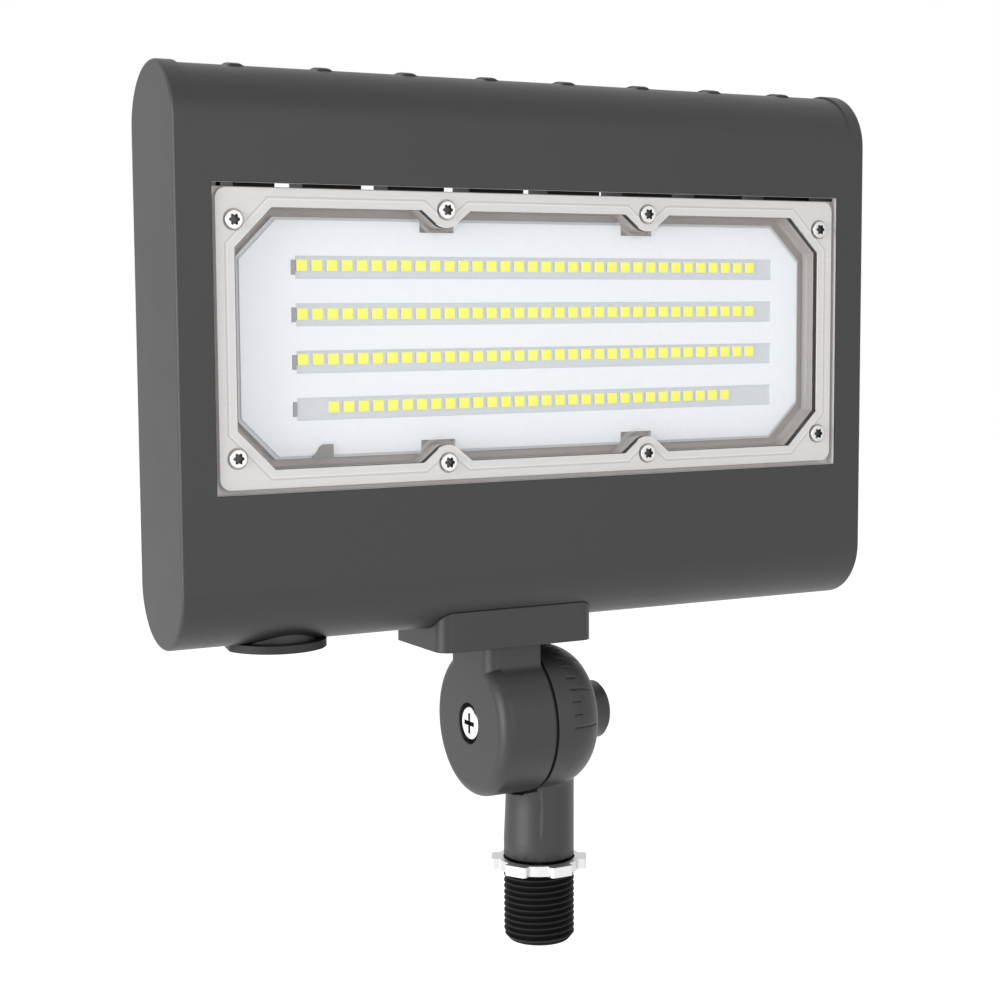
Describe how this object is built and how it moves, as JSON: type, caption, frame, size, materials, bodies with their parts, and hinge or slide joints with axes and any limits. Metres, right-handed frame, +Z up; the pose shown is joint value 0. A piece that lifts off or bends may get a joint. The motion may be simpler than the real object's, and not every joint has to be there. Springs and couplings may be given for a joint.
{
  "type": "flood light",
  "caption": "Slim outdoor LED flood light: finned die-cast housing with a clear flanged lens over LED rows, on a tilting disc knuckle with pipe-thread stem and locknut.",
  "frame": {"origin": "on the axis of the pipe thread and of the wire way inside it, at the foot of the stem where the thread begins", "axes": "+Z up along the thread towards the lamp head, -Y the way the lit face looks, +X to the right seen from the front"},
  "size_m": [0.22, 0.0432, 0.2519],
  "materials": {
    "dark_paint": "satin bronze-grey powder coat on cast aluminium",
    "dark_plastic": "matte",
    "rubber": "matte",
    "grey_rubber": "matte",
    "steel": "bright zinc plated",
    "zinc": "bright die-cast zinc",
    "driver_case": "white moulded case",
    "board": "white solder mask on aluminium",
    "phosphor": "yellow phosphor",
    "white_sheet": "matte white reflector film",
    "grey_plastic": "matte",
    "clear_plastic": "clear polycarbonate"
  },
  "bodies": {
    "base": {"lower_knuckle": "dark_paint", "knuckle_seal": "rubber", "clamp_nut": "steel"},
    "head": {"housing": "dark_paint", "back_cover": "dark_paint", "cover_gasket": "rubber", "cover_screws": "steel", "led_driver": "driver_case", "driver_screws": "steel", "led_board": "board", "board_screws": "steel", "led_packages": "phosphor", "row_connectors": "dark_plastic", "reflector_sheet": "white_sheet", "lead_cover": "grey_plastic", "lens": "clear_plastic", "lens_gasket": "grey_rubber", "lens_screws": "steel", "port_plug": "dark_plastic", "port_plug_seal": "rubber", "port_plug_nut": "steel", "saddle_gasket": "rubber", "saddle_screws": "steel", "upper_knuckle": "dark_paint"},
    "clamp_washer": {"clamp_washer": "steel"},
    "clamp_screw": {"clamp_screw": "steel"},
    "locknut": {"locknut": "zinc"}
  },
  "joints": [
    {"name": "head_tilt", "type": "hinge", "parent": "base", "child": "head", "pos_m": [0, 0, 0.0416], "axis": [1, 0, 0], "range_deg": [-90, 90]},
    {"name": "clamp_travel", "type": "slide", "parent": "base", "child": "clamp_washer", "axis": [-1, 0, 0], "range_m": [0, 0.002]},
    {"name": "clamp_turn", "type": "hinge", "parent": "clamp_washer", "child": "clamp_screw", "pos_m": [0, 0, 0.0416], "axis": [-1, 0, 0], "range_deg": [0, 720]},
    {"name": "locknut_travel", "type": "slide", "parent": "base", "child": "locknut", "axis": [0, 0, -1], "range_m": [0, 0.018]}
  ],
  "couplings": [
    {"joint": "clamp_turn", "follows": "clamp_travel", "rad_per_m": 6283.2}
  ]
}
